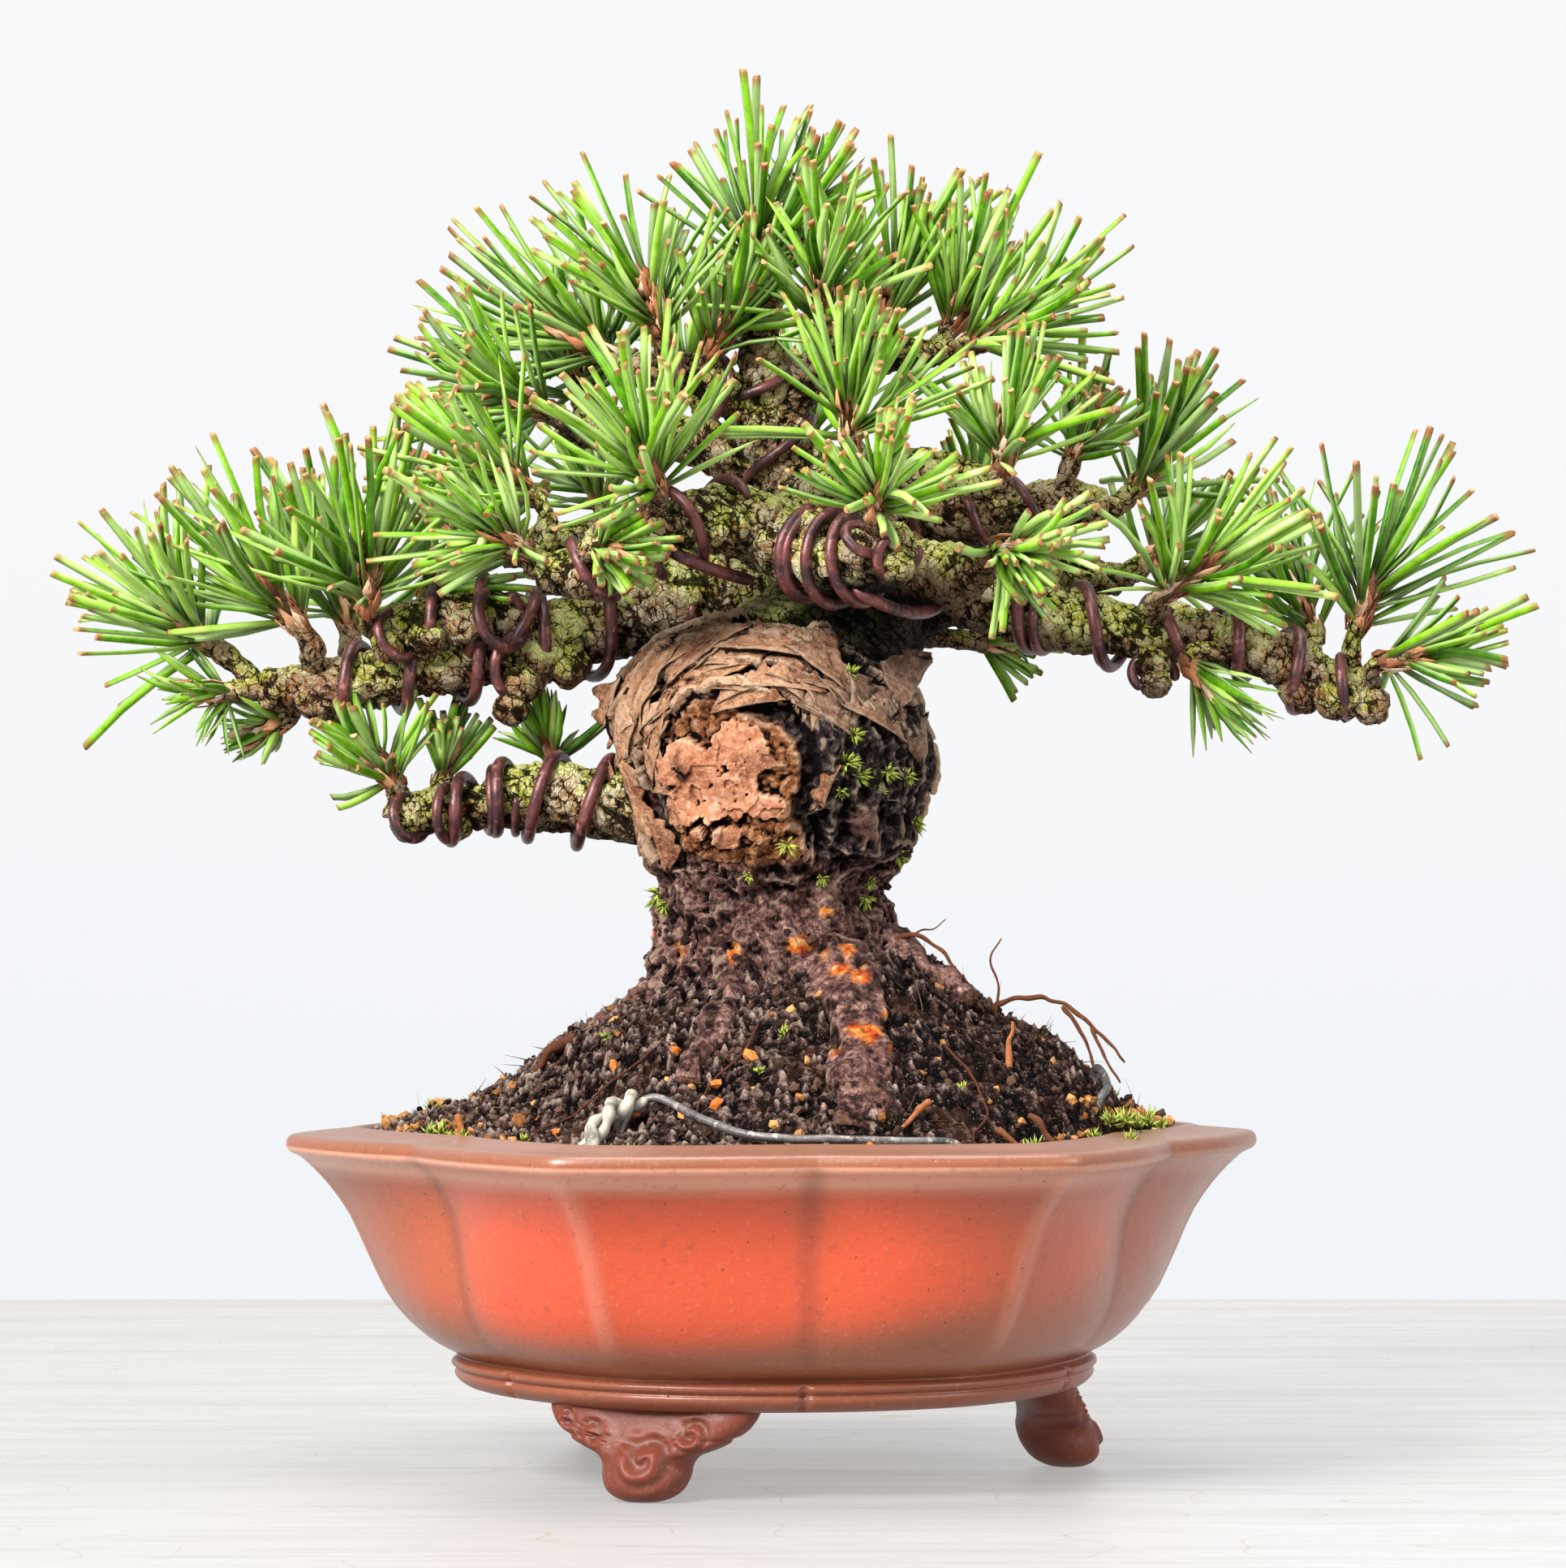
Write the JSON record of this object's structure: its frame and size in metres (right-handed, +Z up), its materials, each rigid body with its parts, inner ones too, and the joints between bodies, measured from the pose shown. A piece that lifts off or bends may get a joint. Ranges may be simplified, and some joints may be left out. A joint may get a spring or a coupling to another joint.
{
  "type": "japanese black pine bonsai",
  "caption": "Small bonsai pine with a burled trunk, wired limbs and short needle tufts, growing from a mound of soil in a lobed, footed pot of unglazed clay.",
  "frame": {"origin": "under the middle of the whole plant's box, on the surface that the feet stand on", "axes": "+Z up, -Y towards the viewer of the picture, +X to their right"},
  "size_m": [0.2, 0.119, 0.1855],
  "materials": {
    "clay": "unglazed satin stoneware, orange red, browner at the lip and the foot",
    "soil": "damp black peat with orange grains",
    "bark": "flaking bark, black low down, tan and pink on the burl, mossy on the limbs",
    "needles": "satin green needles with tan cut ends",
    "training_wire": "dark red-brown anodised wire",
    "tie_wire": "dull grey wire",
    "net": "black drain net"
  },
  "bodies": {
    "root": {"pot": "clay", "drain_net": "net", "tie_wire_front": "tie_wire", "tie_wire_right": "tie_wire", "soil": "soil", "wire_left": "training_wire", "wire_left_low": "training_wire", "wire_front_left": "training_wire", "wire_front_centre": "training_wire", "wire_right": "training_wire", "wire_leader": "training_wire", "pine": "bark", "tuft_left_end": "needles", "tuft_left_end_low": "needles", "tuft_left_outer": "needles", "tuft_left_upper_back": "needles", "tuft_left_front": "needles", "tuft_left_inner": "needles", "tuft_left_under": "needles", "tuft_low_end": "needles", "tuft_low_upright": "needles", "tuft_low_inner": "needles", "tuft_middle_left": "needles", "tuft_front_left_end": "needles", "tuft_front_left": "needles", "tuft_front_left_low": "needles", "tuft_mid_outer": "needles", "tuft_mid_upright": "needles", "tuft_crown_outer_left": "needles", "tuft_crown_left": "needles", "tuft_crown_inner_left": "needles", "tuft_crown_top": "needles", "tuft_crown_bud": "needles", "tuft_crown_front": "needles", "tuft_crown_right": "needles", "tuft_crown_far_right": "needles", "tuft_crown_low_right": "needles", "tuft_right_upper": "needles", "tuft_right_upper_end": "needles", "tuft_right_front": "needles", "tuft_right_under": "needles", "tuft_right_far_upper": "needles", "tuft_right_end": "needles", "tuft_right_end_low": "needles", "tuft_front_low": "needles", "tuft_front_middle": "needles", "tuft_front_right": "needles", "tuft_front_right_low": "needles", "tuft_right_back_low": "needles", "tuft_back_left_end": "needles", "tuft_back_left": "needles", "tuft_back_middle": "needles", "tuft_back_right": "needles", "tuft_back_right_end": "needles", "tuft_back_low": "needles", "tuft_crown_back_left": "needles", "tuft_crown_back_right": "needles"}
  },
  "joints": []
}
